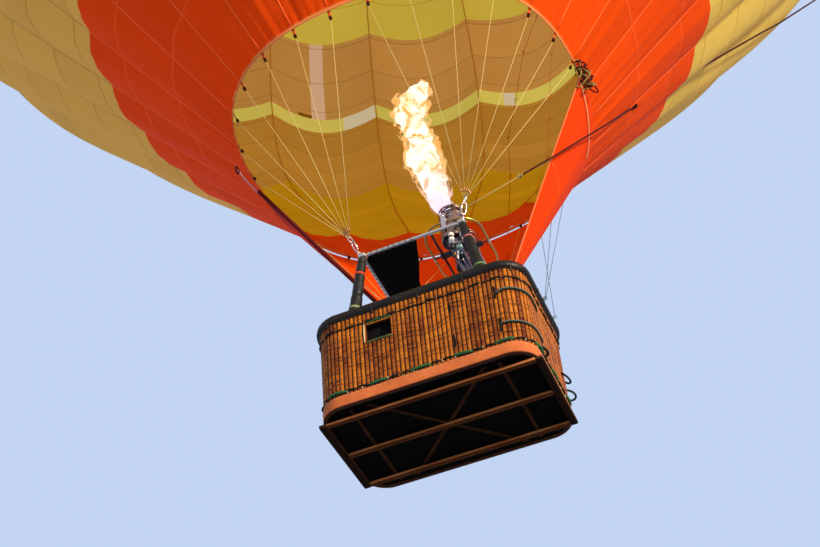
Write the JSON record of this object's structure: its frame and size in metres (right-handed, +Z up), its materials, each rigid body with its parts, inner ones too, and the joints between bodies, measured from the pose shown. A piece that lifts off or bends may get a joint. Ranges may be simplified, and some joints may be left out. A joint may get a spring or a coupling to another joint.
{
  "type": "hot air balloon",
  "caption": "Hot air balloon with a lobed fabric envelope, scoop, flying wires, tilting double burner on a load frame, and a padded wicker basket on runners.",
  "frame": {"origin": "under the middle of the basket, level with the undersides of its runners", "axes": "+X along the basket's length towards the burner's bay, +Y away from the wall with the step hole, +Z up"},
  "size_m": [22.1432, 22.1432, 26.6432],
  "materials": {
    "orange_cloth": "coated ripstop nylon, satin",
    "gold_cloth": "coated ripstop nylon, satin",
    "tan_cloth": "coated ripstop nylon, satin",
    "yellow_cloth": "coated ripstop nylon, satin",
    "pale_tape": "woven webbing, matt",
    "wire": "stranded wire in a pale sleeve",
    "steel": "polished stainless tube",
    "black_cloth": "heat-proof woven cloth, matt",
    "dark_steel": "heat-stained steel",
    "brass": "machined, slightly tarnished",
    "green_leather": "dark green padded leather",
    "wicker": "woven cane, varnished",
    "rawhide": "rawhide, worn",
    "runner_wood": "oiled hardwood",
    "floor_ply": "dark stained plywood",
    "tank": "satin aluminium"
  },
  "bodies": {
    "balloon": {"envelope_orange_zone": "orange_cloth", "envelope_gold_zone": "gold_cloth", "envelope_lower_tan_zone": "tan_cloth", "envelope_yellow_stripe": "yellow_cloth", "envelope_upper_tan_zone": "tan_cloth", "envelope_shoulder_zone": "yellow_cloth", "envelope_crown_zone": "yellow_cloth", "mouth_hem": "pale_tape", "crown_ring_tapes": "pale_tape", "scoop": "orange_cloth", "wire_fan_near_left": "wire", "corner_link_near_left": "steel", "wire_fan_near_right": "wire", "corner_link_near_right": "steel", "wire_fan_far_right": "wire", "corner_link_far_right": "steel", "wire_fan_far_left": "wire", "corner_link_far_left": "steel", "load_frame": "steel", "heat_shield": "black_cloth", "upright_near_left": "green_leather", "upright_near_right": "green_leather", "upright_far_right": "green_leather", "upright_far_left": "green_leather", "gimbal_stanchion_near": "steel", "gimbal_stanchion_far": "steel", "basket_wall": "wicker", "rim_pad": "green_leather", "leather_skirt": "rawhide", "basket_floor": "floor_ply", "floor_straps": "runner_wood", "runner_near": "runner_wood", "runner_middle": "runner_wood", "runner_far": "runner_wood", "end_board_left": "runner_wood", "end_board_right": "runner_wood", "fuel_cylinder_near_left": "tank", "fuel_cylinder_near_right": "tank", "fuel_cylinder_far_right": "tank", "fuel_cylinder_far_left": "tank"},
    "gimbal": {"gimbal_ring": "steel"},
    "burner": {"burner_cradle": "dark_steel", "burner_can_near": "steel", "burner_coil_near": "dark_steel", "burner_can_far": "steel", "burner_coil_far": "dark_steel", "burner_valve_block": "brass"},
    "valve": {"parachute_valve": "orange_cloth"}
  },
  "joints": [
    {"name": "gimbal_roll", "type": "hinge", "parent": "balloon", "child": "gimbal", "pos_m": [0.35, 0, 2.17], "axis": [0, 1, 0], "range_deg": [-12, 12]},
    {"name": "burner_pitch", "type": "hinge", "parent": "gimbal", "child": "burner", "pos_m": [0.35, 0, 2.17], "axis": [1, 0, 0], "range_deg": [-12, 12]},
    {"name": "valve_slide", "type": "slide", "parent": "balloon", "child": "valve", "axis": [0, 0, -1], "range_m": [0, 1.2], "stiffness_N_per_m": 250, "springref_m": -0.8}
  ]
}
